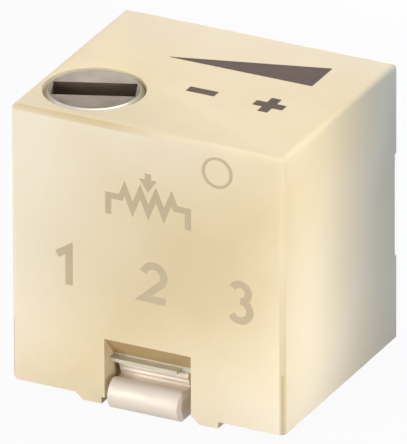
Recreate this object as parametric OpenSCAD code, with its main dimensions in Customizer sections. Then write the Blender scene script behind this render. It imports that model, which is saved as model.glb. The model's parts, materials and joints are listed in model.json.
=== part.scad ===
// Sealed multi-turn trimmer potentiometer, top adjusted, with hooked leads for surface mounting.
// A slotted worm screw in the top turns a toothed rotor, whose wiper sweeps a printed ceramic element.
// Millimetres. The origin is the middle of the footprint, on the board. The front looks along -Y.

/* [Housing] */
// Width of the housing, left to right
body_w = 3.7; // [3.68:0.02:4.2]
// Depth of the housing, front to back
body_d = 3.12; // [3.1:0.02:3.6]
// Height of the housing above its own underside
body_h = 3.69; // [3.66:0.02:4.2]
// Radius of the upright edges and of those round the top
edge_r = 0.07; // [0.04:0.01:0.09]
// Radius of the lower left edge
low_left_r = 0.1; // [0.04:0.01:0.14]
// Thickness of the left and right walls
side_wall = 0.23; // [0.22:0.01:0.3]
// Thickness of the front wall
front_wall = 0.3; // [0.28:0.01:0.34]
// Thickness of the back wall
back_wall = 0.39; // [0.34:0.01:0.42]
// Width of the step inside the walls that the base plate seats on
seat_step = 0.06; // [0.04:0.01:0.08]
// Depth of the shallow band moulded across the back
band_depth = 0.055; // [0.02:0.005:0.08]
// Height of that band
band_h = 1.38; // [1:0.02:1.6]
// Distance from the top of the housing down to the band
band_drop = 1.2; // [1:0.02:1.4]

/* [Notches and feet] */
// Width of the front notch
notch_w = 1.175; // [1.1:0.005:1.3]
// Width of each back notch
back_notch_w = 0.8; // [0.76:0.01:0.84]
// Height of the notches above the underside of the housing
notch_h = 0.8; // [0.72:0.01:0.86]
// Depth of the slope in the roof of a notch
slope_depth = 0.253; // [0.2:0.001:0.27]
// Drop of the slope in the roof of a notch
slope_drop = 0.3; // [0.2:0.01:0.34]
// Width of a moulded foot
foot_w = 0.36; // [0.3:0.005:0.4]
// Width of the ramp at the left of a foot
foot_ramp = 0.11; // [0.05:0.01:0.15]
// Depth of a foot, front to back
foot_d = 0.5; // [0.3:0.01:0.6]
// How far a foot stands below the underside
foot_h = 0.09; // [0.04:0.01:0.1]
// Right end of the left foot at the front, from the middle
left_foot_end = -0.63; // [-0.7:0.01:-0.62]
// Right end of the right foot at the front, from the middle
right_foot_end = 0.955; // [0.95:0.005:1.05]
// Right end of the left foot at the back, from the middle
back_left_foot_end = -0.185; // [-0.25:0.005:-0.15]
// Right end of the right foot at the back, from the middle
back_right_foot_end = 0.57; // [0.54:0.005:0.6]

/* [Leads] */
// Height of the underside of the housing above the board
standoff = 0.135; // [0.12:0.005:0.2]
// Thickness of the lead metal
lead_t = 0.12; // [0.08:0.01:0.13]
// Width of the front lead
front_lead_w = 0.94; // [0.8:0.01:0.98]
// Place of the front lead, from the middle of the housing
front_lead_x = -0.035; // [-0.05:0.005:0.05]
// Width of each back lead
back_lead_w = 0.6; // [0.5:0.01:0.64]
// Distance of the middle of a back lead from the side of the housing
back_lead_inset = 0.7; // [0.69:0.01:0.75]
// How far the hooks stand out of the front and back faces
hook_proud = 0.092; // [0.05:0.001:0.12]
// Outer radius of the hook
hook_r = 0.1975; // [0.18:0.0005:0.2]
// Length of the flat end under the hook
hook_foot = 0.3; // [0.1:0.01:0.35]
// Depth of the pocket in the sealant behind a hook
hook_pocket = 0.46; // [0.45:0.01:0.5]
// Distance behind the face at which a lead's fold meets the base plate
fold_upper = 0.295; // [0.28:0.005:0.3]
// Distance behind the face at the deepest place of the fold
fold_deep = 0.37; // [0.36:0.005:0.38]
// Distance behind the face at the lower end of the fold
fold_lower = 0.335; // [0.32:0.005:0.345]
// Height of a lead's inner end above the base plate
tab_h = 0.1; // [0.06:0.01:0.12]

/* [Base plate] */
// Height of the underside of the base plate above the underside of the housing
base_lift = 0.445; // [0.44:0.005:0.46]
// Thickness of the base plate
base_t = 0.2; // [0.18:0.01:0.22]
// Thickness of the lip that shows in the notches
lip_t = 0.045; // [0.03:0.005:0.06]
// Distance of the lip behind the front and back faces
lip_back = 0.13; // [0.1:0.01:0.2]
// Distance from the right end of the front lip to the side of the notch
lip_short = 0.255; // [0.1:0.005:0.3]
// Clearance round the base plate
base_gap = 0.01; // [0.005:0.005:0.02]
// Height of the sealant's face above the underside of the housing
seal_lift = 0.06; // [0.02:0.01:0.1]

/* [Adjusting screw] */
// Distance of the screw's axis from the left face of the housing
screw_left = 0.73; // [0.72:0.01:0.77]
// Distance of the screw's axis from the front face of the housing
screw_front = 0.83; // [0.8:0.01:0.86]
// Radius of the screw's head
head_r = 0.62; // [0.58:0.01:0.62]
// Thickness of the head
head_t = 0.365; // [0.3:0.005:0.4]
// How far the head lies below the top of the housing
head_sink = 0; // [0:0.01:0.05]
// Width of the chamfer round the head
head_chamfer = 0.055; // [0.04:0.005:0.11]
// Length of the driver slot
slot_len = 1.03; // [0.9:0.01:1.04]
// Width of the driver slot
slot_w = 0.37; // [0.2:0.01:0.38]
// Depth of the driver slot
slot_depth = 0.26; // [0.15:0.01:0.28]
// Angle of the driver slot at rest, from the width of the housing
slot_angle = 22; // [0:1:90]
// Clearance round the head
head_gap = 0.015; // [0.01:0.005:0.03]
// Radius of the screw's journal
journal_r = 0.38; // [0.375:0.005:0.39]
// Clearance of the journal, the pivots and the tail in their bores
run_gap = 0.02; // [0.01:0.005:0.03]
// Thickness of the housing round the journal
journal_len = 0.21; // [0.18:0.01:0.24]
// Height of the groove that holds the sealing ring
ring_groove = 0.27; // [0.26:0.005:0.3]
// Clearance between the sealing ring and what it seals
ring_gap = 0.005; // [0.002:0.001:0.008]
// Thickness of the retaining clip
clip_t = 0.1; // [0.08:0.01:0.12]
// Outer radius of the retaining clip
clip_r = 0.485; // [0.45:0.005:0.49]
// Radius of the groove that the clip sits in
clip_groove_r = 0.28; // [0.24:0.01:0.3]
// Width of the clip's open mouth
clip_mouth = 0.45; // [0.4:0.01:0.48]
// Radius of the pivot at the screw's lower end
tail_r = 0.16; // [0.12:0.01:0.17]
// Depth of the tail's socket in the base plate
tail_socket = 0.12; // [0.08:0.01:0.14]

/* [Worm drive] */
// Teeth on the rotor
teeth = 15; // [15:1:16]
// Clearance between the rotor's teeth and the walls, at the closest
rotor_gap = 0.05; // [0.04:0.01:0.06]
// Pitch radius of the worm
worm_r = 0.28; // [0.27:0.01:0.28]
// Height of a tooth above the pitch line
addendum = 0.09; // [0.07:0.005:0.09]
// Depth of a tooth below the pitch line
dedendum = 0.11; // [0.1:0.005:0.12]
// Backlash of each tooth at the pitch line
backlash = 0.035; // [0.02:0.005:0.05]
// Pressure angle of the teeth
pressure = 20; // [15:1:25]
// Turns of thread on the worm
worm_turns = 3; // [2:1:3]
// Width of the toothed rim
rim_w = 0.4; // [0.3:0.01:0.42]

/* [Rotor] */
// Step from the roots of the teeth in to the rotor's drum
drum_step = 0.12; // [0.06:0.01:0.2]
// Distance from the end of the drum to the printed films, which the wiper bridges
wiper_rise = 0.45; // [0.44:0.01:0.48]
// Radius of the front pivot
front_pivot_r = 0.25; // [0.2:0.01:0.28]
// Depth of the front pivot's hole in the front wall
front_pivot_hole = 0.14; // [0.1:0.01:0.16]
// Radius of the boss that carries the front pivot
boss_r = 0.42; // [0.4:0.01:0.46]
// Gap between the boss and the toothed rim
boss_gap = 0.03; // [0.02:0.005:0.05]
// Radius of the back pivot
back_pivot_r = 0.14; // [0.1:0.01:0.15]
// Radius of the pegs that hold the wiper
peg_r = 0.06; // [0.04:0.01:0.07]
// Distance of the pegs from the rotor's axis, as a share of the radius of the wiper's plate
peg_share = 0.8; // [0.76:0.01:0.84]

/* [Element and wiper] */
// Thickness of the ceramic element
element_t = 0.4; // [0.35:0.01:0.44]
// Clearance at each side of the element
element_gap = 0.17; // [0.1:0.01:0.2]
// Clearance above the element
element_top_gap = 0.06; // [0.02:0.01:0.1]
// Thickness of the printed films
film_t = 0.02; // [0.01:0.005:0.025]
// Distance from the pitch line of the teeth in to the middle of the resistive track
track_inset = 0.15; // [0.12:0.01:0.18]
// Width of the resistive track
track_w = 0.2; // [0.16:0.01:0.22]
// Angle that the resistive track covers
track_angle = 272; // [268:1:276]
// Radius of the middle of the collector ring, as a share of the track's
collector_share = 0.525; // [0.5:0.005:0.55]
// Width of the printed conductors
conductor_w = 0.16; // [0.1:0.01:0.18]
// Height of the printed pads
pad_h = 0.16; // [0.14:0.01:0.18]
// Thickness of the wiper spring
wiper_t = 0.05; // [0.03:0.005:0.06]
// Step from the edge of the rotor's drum in to the edge of the wiper's plate
plate_step = 0.1; // [0.08:0.01:0.12]
// Width of one wiper finger
finger_w = 0.07; // [0.05:0.005:0.08]
// Gap between wiper fingers
finger_gap = 0.04; // [0.03:0.005:0.05]
// Gap between the wiper's tips and the films
contact_gap = 0.008; // [0.005:0.001:0.01]

/* [Marks] */
// Outer radius of the ring moulded on the front
mark_r = 0.205; // [0.15:0.005:0.24]
// Width of the ring's line
mark_line = 0.033; // [0.025:0.001:0.05]
// How far the ring stands out
mark_t = 0.006; // [0.004:0.001:0.01]
// Place of the ring from the middle of the front
mark_x = 0.958; // [0.8:0.01:1]
// Place of the ring below the top
mark_drop = 0.35; // [0.3:0.01:0.5]

/* [Hidden] */

// Smoothness of round shapes, and of the corners that are rounded together
round_fn = 64;
corner_fn = 24;
// Length that lets one shape cut cleanly through the face of another
over = 0.1;

front_y = -body_d / 2;
back_y = body_d / 2;
under_z = standoff;
top_z = under_z + body_h;

// Inner faces of the housing
room_x = body_w / 2 - side_wall;
room_front = front_y + front_wall;
room_back = back_y - back_wall;
skirt_x = room_x + seat_step;
skirt_front = room_front - seat_step;

// Places of the screw and of the leads on the back
screw_x = screw_left - body_w / 2;
screw_y = screw_front - body_d / 2;
back_lead_x = body_w / 2 - back_lead_inset;

// Faces of the base plate
base_z = under_z + base_lift;
base_top = base_z + base_t;

// Levels along the adjusting screw, from the top down
head_top = top_z - head_sink;
head_low = head_top - head_t;
shelf_top = head_low - ring_groove;
room_top = shelf_top - journal_len;
clip_top = room_top - run_gap / 2;
worm_top = clip_top - clip_t - run_gap;
bore_r = head_r + head_gap;
journal_bore = journal_r + run_gap;
ring_r = (bore_r - journal_r) / 2 - ring_gap;

// Worm drive, with the largest rotor that fits the height and the width of the room
high_wheel = (room_top - base_top) / 2;
wide_wheel = (room_x - screw_x - worm_r + addendum - rotor_gap) / 2;
wheel_tip = min(high_wheel - rotor_gap, wide_wheel);
wheel_r = wheel_tip - addendum;
pitch = 2 * PI * wheel_r / teeth;
wheel_x = screw_x + worm_r + wheel_r;
wheel_z = base_top + high_wheel;
lead_slope = pitch / (2 * PI * worm_r);
rim_twist = rim_w * lead_slope / wheel_r * 180 / PI;
tooth_w = pitch / 2 - backlash;
tooth_step = 360 / teeth;
worm_root = worm_r - dedendum;
worm_tip = worm_r + addendum;
worm_sunk = worm_root - run_gap;
worm_low = wheel_z - (worm_turns + 1) / 2 * pitch;

// Places along the rotor's axis
rim_front = screw_y - rim_w / 2;
element_front = room_back - element_t;
film_front = element_front - film_t;
drum_back = film_front - wiper_rise;
pivot_end = element_front + element_t / 2;

// Radii of the rotor, its wiper and the films that the wiper sweeps
drum_r = wheel_r - dedendum - drum_step;
wiper_plate_r = drum_r - plate_step;
peg_at = peg_share * wiper_plate_r;
track_r = wheel_r - track_inset;
collector_r = collector_share * track_r;

// Route of a lead, as distance behind the face it hooks over, and height
hook_y = hook_r - hook_proud;
hook_z = hook_r;
mid_r = hook_r - lead_t / 2;
run_z = hook_z + mid_r;
tuck_z = base_z - lead_t / 2;
fold_top = [fold_upper, tuck_z];
fold_out = [fold_deep, (run_z + tuck_z) / 2];
fold_low = [fold_lower, run_z];
tab_y = film_front - lead_t / 2;

// Housing

module rounded_square(size, r) {
    // A rectangle on the origin with round corners
    for (x = [-1, 1], y = [-1, 1])
        translate([x * (size.x / 2 - r), y * (size.y / 2 - r)])
            circle(r = r, $fn = round_fn);
    square([size.x - 2 * r, size.y], center = true);
    square([size.x, size.y - 2 * r], center = true);
}

module arched(width, height, r) {
    // An outline that stands on the origin, with round corners at the top only
    intersection() {
        rounded_square([width, 2 * height], r);
        translate([-width, 0])
            square(2 * [width, height]);
    }
}

module rounded_block(size, r, low_r) {
    // A block on the origin, rounded all round but below, made by three outlines that cross
    intersection() {
        linear_extrude(size.z)
            rounded_square([size.x, size.y], r);
        rotate([90, 0, 0])
            linear_extrude(size.y, center = true)
                difference() {
                    arched(size.x, size.z, r);
                    // Round lower left corner
                    translate([-size.x / 2, 0])
                        difference() {
                            translate([-low_r, -low_r])
                                square(2 * low_r);
                            translate([low_r, low_r])
                                circle(r = low_r, $fn = round_fn);
                        }
                }
        rotate([90, 0, 90])
            linear_extrude(size.x, center = true)
                arched(size.y, size.z, r);
    }
}

module notch_cut(x, w, front) {
    // A notch in the lower edge of a wall, with a roof that slopes down inwards
    translate([x, front ? front_y : back_y, 0])
        rotate([90, 0, front ? 90 : -90])
            translate([0, 0, -w / 2])
                linear_extrude(w)
                    polygon([[-over, -over], [-over, under_z + notch_h], [0, under_z + notch_h],
                        [slope_depth, under_z + notch_h - slope_drop], [slope_depth, base_z],
                        [front_wall, base_z], [front_wall, -over]]);
}

module foot(right_end, front) {
    // A foot with a ramp at its left, flush with the face above it
    translate([right_end, front ? front_y + foot_d : back_y, under_z])
        rotate([90, 0, 0])
            linear_extrude(foot_d)
                polygon([[-foot_w, 0], [foot_ramp - foot_w, -foot_h], [0, -foot_h],
                    [0, over], [-foot_w, over]]);
}

module housing() {
    color("#EAD9B6")
        difference() {
            union() {
                difference() {
                    union() {
                        translate([0, 0, under_z])
                            rounded_block([body_w, body_d, body_h], edge_r, low_left_r);
                        foot(left_foot_end, true);
                        foot(right_foot_end, true);
                        foot(back_left_foot_end, false);
                        foot(back_right_foot_end, false);
                        ring_mark();
                    }
                    // Room for the works, open below, with the wider seat of the base plate
                    translate([-room_x, room_front, 0])
                        cube([2 * room_x, room_back - room_front, room_top]);
                    translate([-skirt_x, skirt_front, 0])
                        cube([2 * skirt_x, -2 * skirt_front, base_top]);
                    // Shallow band across the back
                    translate([-body_w, back_y - band_depth, top_z - band_drop - band_h])
                        cube([2 * body_w, body_d, band_h]);
                }
                // Boss on the front wall that carries the rotor
                translate([wheel_x, front_y + front_wall / 2, wheel_z])
                    rotate([-90, 0, 0])
                        cylinder(r = boss_r, h = rim_front - boss_gap - front_y - front_wall / 2,
                            $fn = round_fn);
            }
            notch_cut(0, notch_w, true);
            notch_cut(-back_lead_x, back_notch_w, false);
            notch_cut(back_lead_x, back_notch_w, false);
            // Blind hole for the front pivot
            translate([wheel_x, room_front - front_pivot_hole, wheel_z])
                rotate([-90, 0, 0])
                    cylinder(r = front_pivot_r + run_gap, h = body_d / 2, $fn = round_fn);
            // Bore for the head and its sealing ring, and the journal below it
            translate([screw_x, screw_y, shelf_top])
                cylinder(r = bore_r, h = body_h, $fn = round_fn);
            translate([screw_x, screw_y, room_top - over])
                cylinder(r = journal_bore, h = body_h, $fn = round_fn);
        }
}

module ring_mark() {
    // Thin raised ring on the front face
    translate([mark_x, front_y, top_z - mark_drop])
        rotate([90, 0, 0])
            translate([0, 0, -mark_t])
                linear_extrude(2 * mark_t)
                    difference() {
                        circle(r = mark_r, $fn = round_fn);
                        circle(r = mark_r - mark_line, $fn = round_fn);
                    }
}

// Adjusting screw

function worm_half(r) = tooth_w / 2 - (r - worm_r) * tan(pressure);

function worm_ring(turn) = [
    for (corner = [[worm_sunk, -1], [worm_tip, -1], [worm_tip, 1], [worm_sunk, 1]])
        [corner[0] * cos(turn * 360), corner[0] * sin(turn * 360),
            (turn - worm_turns / 2) * pitch + corner[1] * worm_half(corner[0])]
];

module worm_thread() {
    // One thread that winds up the shaft, with its gap opposite a tooth of the rotor at rest
    steps = worm_turns * corner_fn;
    points = [for (i = [0:steps]) each worm_ring(i / corner_fn)];
    sides = [for (i = [0:steps - 1], k = [0:3])
        each [[4 * i + k, 4 * i + (k + 1) % 4, 4 * i + 4 + k],
            [4 * i + (k + 1) % 4, 4 * i + 4 + (k + 1) % 4, 4 * i + 4 + k]]];
    polyhedron(points, concat([[3, 2, 1, 0]], sides, [[for (k = [0:3]) 4 * steps + k]]));
}

module adjusting_screw() {
    color("#B4AA9E")
        translate([screw_x, screw_y, 0])
            difference() {
                union() {
                    rotate_extrude($fn = round_fn)
                        polygon([[0, head_top], [head_r - head_chamfer, head_top],
                            [head_r, head_top - head_chamfer], [head_r, head_low],
                            [journal_r, head_low], [journal_r, clip_top], [clip_groove_r, clip_top],
                            [clip_groove_r, clip_top - clip_t], [journal_r, clip_top - clip_t],
                            [journal_r, worm_top], [worm_root, worm_top],
                            [worm_root, worm_low], [tail_r, worm_low],
                            [tail_r, base_top - tail_socket + run_gap],
                            [0, base_top - tail_socket + run_gap]]);
                    translate([0, 0, wheel_z])
                        worm_thread();
                }
                rotate([0, 0, slot_angle])
                    translate([-slot_len / 2, -slot_w / 2, head_top - slot_depth])
                        cube([slot_len, slot_w, body_h]);
            }
}

module sealing_ring() {
    color("#3B3A38")
        translate([screw_x, screw_y, (head_low + shelf_top) / 2])
            rotate_extrude($fn = round_fn)
                translate([journal_r + ring_gap + ring_r, 0])
                    circle(r = ring_r, $fn = round_fn);
}

module retaining_clip() {
    // C-shaped washer in the screw's groove, under the housing's shelf
    color("#C9CBCC")
        translate([screw_x, screw_y, clip_top - clip_t])
            linear_extrude(clip_t)
                difference() {
                    circle(r = clip_r, $fn = round_fn);
                    circle(r = clip_groove_r, $fn = round_fn);
                    translate([0, -clip_mouth / 2])
                        square([clip_r + over, clip_mouth]);
                }
}

// Rotor

module tooth() {
    // One tooth of the rotor, across the pitch line
    tip = tooth_w / 2 - addendum * tan(pressure);
    root = tooth_w / 2 + dedendum * tan(pressure);
    polygon([[wheel_r - dedendum - over, -root], [wheel_r - dedendum, -root], [wheel_tip, -tip],
        [wheel_tip, tip], [wheel_r - dedendum, root], [wheel_r - dedendum - over, root]]);
}

module toothed_rim() {
    // Rim with slanted teeth that match the worm's lead
    linear_extrude(rim_w, twist = -rim_twist, slices = 3)
        rotate(180 - rim_twist / 2)
            union() {
                circle(r = wheel_r - dedendum, $fn = 2 * teeth);
                for (i = [0:teeth - 1])
                    rotate(i * tooth_step)
                        tooth();
            }
}

module rotor() {
    color("#5C6B5A")
        translate([wheel_x, 0, wheel_z])
            rotate([-90, 0, 0]) {
                translate([0, 0, rim_front])
                    toothed_rim();
                translate([0, 0, room_front - front_pivot_hole + run_gap])
                    cylinder(r = front_pivot_r, h = screw_y - room_front + front_pivot_hole - run_gap,
                        $fn = round_fn);
                translate([0, 0, screw_y])
                    cylinder(r = drum_r, h = drum_back - screw_y, $fn = round_fn);
                translate([0, 0, screw_y])
                    cylinder(r = back_pivot_r, h = pivot_end - screw_y, $fn = round_fn);
                for (side = [-1, 1])
                    translate([side * peg_at, 0, screw_y])
                        cylinder(r = peg_r, h = drum_back + wiper_t - screw_y, $fn = round_fn);
            }
}

module finger(reach) {
    // One bent finger: from the plate out to a rounded tip against the film
    tip_y = film_front - contact_gap - drum_back;
    linear_extrude(finger_w, center = true)
        union() {
            polygon([[back_pivot_r + 2 * wiper_t, 0], [back_pivot_r + 2 * wiper_t, wiper_t],
                [reach - wiper_t, tip_y], [reach, tip_y - wiper_t]]);
            translate([reach - wiper_t / 2, tip_y - wiper_t])
                circle(r = wiper_t, $fn = round_fn);
        }
}

module wiper_spring() {
    // Stamped spring on the rotor: two fingers on the track above, two on the collector below
    color("#D8C58A")
        translate([wheel_x, drum_back, wheel_z]) {
            rotate([-90, 0, 0])
                linear_extrude(wiper_t)
                    difference() {
                        circle(r = wiper_plate_r, $fn = round_fn);
                        circle(r = back_pivot_r + run_gap, $fn = round_fn);
                        for (side = [-1, 1])
                            translate([side * peg_at, 0])
                                circle(r = peg_r, $fn = round_fn);
                    }
            for (side = [-1, 1])
                translate([side * (finger_w + finger_gap) / 2, 0, 0]) {
                    rotate([90, 0, 90])
                        rotate(90)
                            mirror([0, 1])
                                finger(track_r);
                    rotate([0, 180, 0])
                        rotate([90, 0, 90])
                            rotate(90)
                                mirror([0, 1])
                                    finger(collector_r);
                }
        }
}

// Ceramic element and its printed films

module element_substrate() {
    color("#E8E6DE")
        difference() {
            translate([element_gap - room_x, element_front, base_top])
                cube([2 * (room_x - element_gap), element_t, room_top - element_top_gap - base_top]);
            translate([wheel_x, element_front - over, wheel_z])
                rotate([-90, 0, 0])
                    cylinder(r = back_pivot_r + run_gap, h = body_d, $fn = round_fn);
        }
}

module film() {
    // Places a flat pattern, drawn from the rotor's axis with height upwards, on the element's face
    translate([wheel_x, element_front, wheel_z])
        rotate([90, 0, 0])
            linear_extrude(film_t)
                children();
}

module band(r, w) {
    difference() {
        circle(r = r + w / 2, $fn = round_fn);
        circle(r = r - w / 2, $fn = round_fn);
    }
}

module track_gap() {
    // Wedge below the axis that the track leaves open
    half = (360 - track_angle) / 2;
    far = 2 * track_r;
    polygon([[0, 0], [-far * sin(half), -far * cos(half)], [far * sin(half), -far * cos(half)]]);
}

function turned(side, points) = side > 0 ? points : [for (i = [len(points) - 1:-1:0]) points[i]];

module resistive_track() {
    color("#2E2C2B")
        film()
            difference() {
                band(track_r, track_w);
                track_gap();
            }
}

module printed_conductors() {
    // Collector ring, the pads of the three leads, and what joins them
    pad_low = base_top - wheel_z;
    half_gap = (360 - track_angle) / 2;
    outer_r = track_r + track_w / 2;
    stem_x = front_lead_x - wheel_x;
    color("#C7C9C8")
        film() {
            union() {
                band(collector_r, conductor_w);
                polygon([[stem_x - conductor_w / 2, pad_low], [stem_x + conductor_w / 2, pad_low],
                    [conductor_w / 2, -collector_r], [-conductor_w / 2, -collector_r]]);
                translate([stem_x - front_lead_w / 4, pad_low])
                    square([front_lead_w / 2, pad_h]);
            }
            for (side = [-1, 1])
                difference() {
                    union() {
                        translate([side * back_lead_x - wheel_x - back_lead_w / 2, pad_low])
                            square([back_lead_w, pad_h]);
                        polygon(turned(side, [[side * back_lead_x - wheel_x, pad_low],
                            [side * back_lead_x - wheel_x, pad_low + pad_h],
                            [side * outer_r * sin(half_gap), -outer_r * cos(half_gap)],
                            [side * track_r * sin(half_gap), -track_r * cos(half_gap)],
                            [side * (back_lead_x - back_lead_w / 2) - wheel_x, pad_low]]));
                    }
                    difference() {
                        band(track_r, track_w);
                        track_gap();
                    }
                }
        }
}

// Base plate, leads and sealant

module lip(x, w, front) {
    // Thin edge of the base plate that shows in a notch
    translate([x - w / 2, front ? front_y + lip_back : -skirt_front - slope_depth, base_z])
        cube([w, slope_depth + back_y + skirt_front - lip_back, lip_t]);
}

module base_plate() {
    color("#BDB8A4")
        difference() {
            union() {
                translate([base_gap - skirt_x, skirt_front + base_gap, base_z])
                    cube([2 * (skirt_x - base_gap), -2 * (skirt_front + base_gap), base_t]);
                lip(-lip_short / 2, notch_w - lip_short, true);
                lip(-back_lead_x, back_notch_w, false);
                lip(back_lead_x, back_notch_w, false);
            }
            // Socket for the tail of the screw
            translate([screw_x, screw_y, base_top - tail_socket])
                cylinder(r = tail_r + run_gap, h = body_h, $fn = round_fn);
            lead_slot(front_lead_x, front_lead_w / 2);
            lead_slot(-back_lead_x, back_lead_w);
            lead_slot(back_lead_x, back_lead_w);
        }
}

module lead_slot(x, w) {
    // Slot in the base plate that the upright end of a lead passes through
    translate([x - w / 2, tab_y - lead_t / 2, 0])
        cube([w, lead_t, body_h]);
}

module strap(a, b) {
    // Straight stretch of the lead's section with round ends
    d = norm(b - a);
    translate(a)
        rotate(atan2(b.y - a.y, b.x - a.x))
            translate([0, -lead_t / 2])
                square([d, lead_t]);
    translate(a)
        circle(d = lead_t, $fn = round_fn);
    translate(b)
        circle(d = lead_t, $fn = round_fn);
}

module hook_section(inner) {
    // Section of a lead: hook, fold under the base plate, and its run to the element
    difference() {
        translate([hook_y, hook_z])
            circle(r = hook_r, $fn = round_fn);
        translate([hook_y, hook_z])
            circle(r = hook_r - lead_t, $fn = round_fn);
        translate([hook_y, -over])
            square([body_d, body_h]);
    }
    translate([hook_y, 0])
        square([hook_foot, lead_t]);
    translate([hook_y, run_z - lead_t / 2])
        square([fold_low.x - hook_y, lead_t]);
    strap(fold_low, fold_out);
    strap(fold_out, fold_top);
    translate([fold_top.x, tuck_z - lead_t / 2])
        square([inner - fold_top.x, lead_t]);
}

module lead(x, w, tab_w, front) {
    // inner is where the run under the base plate ends, measured from the face it hooks over
    inner = front ? tab_y + lead_t / 2 - front_y : back_y - tab_y + lead_t / 2;
    translate([x, front ? front_y : back_y, 0])
        rotate([90, 0, front ? 90 : -90])
            translate([0, 0, -w / 2])
                linear_extrude(w)
                    hook_section(inner);
    translate([x - tab_w / 2, tab_y - lead_t / 2, tuck_z])
        cube([tab_w, lead_t, base_top + tab_h - tuck_z]);
}

module terminal_1() {
    color("#D9CCC0")
        lead(-back_lead_x, back_lead_w, back_lead_w, false);
}

module terminal_2() {
    color("#D9CCC0")
        lead(front_lead_x, front_lead_w, front_lead_w / 2, true);
}

module terminal_3() {
    color("#D9CCC0")
        lead(back_lead_x, back_lead_w, back_lead_w, false);
}

module lead_joints() {
    // Beads of conductive cement over the ends of the leads, on the printed pads
    color("#9FA3A6")
        for (joint = [[-back_lead_x, back_lead_w], [front_lead_x, front_lead_w / 2],
            [back_lead_x, back_lead_w]])
            translate([joint[0] - joint[1] / 2, film_front, base_top + tab_h])
                rotate([90, 0, 90])
                    linear_extrude(joint[1])
                        polygon([[0, 0], [-lead_t, 0], [0, pad_h - tab_h]]);
}

module ridge(x, w, front) {
    // Ridge that a hook closes round
    inner_r = hook_r - lead_t;
    translate([x - w / 2, front ? front_y + hook_y - inner_r : back_y - hook_pocket, lead_t])
        cube([w, hook_pocket - hook_y + inner_r, 2 * inner_r]);
}

module sealant() {
    // Sealant that fills the housing below the base plate, with a pocket and a ridge at each hook
    depth = base_z - under_z - seal_lift;
    color("#8D7B5E")
        difference() {
            union() {
                difference() {
                    translate([-skirt_x, skirt_front, base_z - depth])
                        cube([2 * skirt_x, -2 * skirt_front, depth]);
                    translate([-notch_w / 2, front_y, 0])
                        cube([notch_w, hook_pocket, base_z + over]);
                    for (side = [-1, 1])
                        translate([side * back_lead_x - back_notch_w / 2, back_y - hook_pocket, 0])
                            cube([back_notch_w, hook_pocket, base_z + over]);
                }
                ridge(front_lead_x, front_lead_w, true);
                ridge(-back_lead_x, back_lead_w, false);
                ridge(back_lead_x, back_lead_w, false);
            }
            terminal_1();
            terminal_2();
            terminal_3();
        }
}

housing();
adjusting_screw();
sealing_ring();
retaining_clip();
rotor();
wiper_spring();
element_substrate();
resistive_track();
printed_conductors();
base_plate();
terminal_1();
terminal_2();
terminal_3();
lead_joints();
sealant();
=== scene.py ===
"""Looks of a small sealed multi-turn trimmer potentiometer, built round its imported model."""
import json
import math

import bmesh
import bpy
from mathutils import Matrix, Vector

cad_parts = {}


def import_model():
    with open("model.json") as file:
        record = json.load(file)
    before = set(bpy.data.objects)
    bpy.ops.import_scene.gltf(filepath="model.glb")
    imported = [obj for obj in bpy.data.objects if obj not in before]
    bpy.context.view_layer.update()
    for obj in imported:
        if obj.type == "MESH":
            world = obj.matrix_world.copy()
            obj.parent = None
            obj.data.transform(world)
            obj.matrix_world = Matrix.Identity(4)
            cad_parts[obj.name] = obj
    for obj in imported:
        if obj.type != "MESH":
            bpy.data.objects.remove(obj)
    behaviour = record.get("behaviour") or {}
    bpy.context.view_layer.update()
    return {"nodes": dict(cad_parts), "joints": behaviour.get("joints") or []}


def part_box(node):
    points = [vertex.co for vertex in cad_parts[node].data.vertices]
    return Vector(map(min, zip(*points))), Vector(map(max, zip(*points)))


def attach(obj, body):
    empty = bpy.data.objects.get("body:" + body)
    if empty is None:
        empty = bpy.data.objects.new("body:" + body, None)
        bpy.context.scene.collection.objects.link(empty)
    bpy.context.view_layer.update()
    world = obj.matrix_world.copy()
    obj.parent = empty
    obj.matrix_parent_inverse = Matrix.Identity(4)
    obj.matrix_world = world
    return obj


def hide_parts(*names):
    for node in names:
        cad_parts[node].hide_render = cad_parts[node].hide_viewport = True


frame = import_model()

# Shapes are built in millimetres and scaled to metres when they are done
MM = 0.001
# Bodies that the pieces ride on
CASE, SCREW = "case", "screw"


def box_mm(node):
    """Lowest and highest corner of a CAD node, in millimetres."""
    low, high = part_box(node)
    return Vector(low) / MM, Vector(high) / MM


def joint_mm(name):
    """Place of a joint, in millimetres."""
    place = next(joint["pos_m"] for joint in frame["joints"] if joint["name"] == name)
    return [round(c / MM, 4) for c in place]


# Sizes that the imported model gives
HOUSING_HIGH = box_mm("housing")[1]
PLATE_LOW, PLATE_HIGH = box_mm("base_plate")
BODY_W = round(2 * HOUSING_HIGH.x, 4)
BODY_D = round(2 * HOUSING_HIGH.y, 4)
TOP_Z = HOUSING_HIGH.z
BASE_Z = PLATE_LOW.z
BASE_TOP = PLATE_HIGH.z
HEAD_TOP = box_mm("adjusting_screw")[1].z
SCREW_X, SCREW_Y = joint_mm("screw_turn")[:2]

# Height of the housing without its feet, and the planes of its faces
BODY_H = 3.69
UNDER_Z = TOP_Z - BODY_H
FRONT_Y = -BODY_D / 2
BACK_Y = BODY_D / 2

# Segments of a rounded edge, and the share of the rounding that the two upright edges at the back have
EDGE_SEGMENTS = 6
BACK_EDGE_SHARE = 0.25

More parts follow.
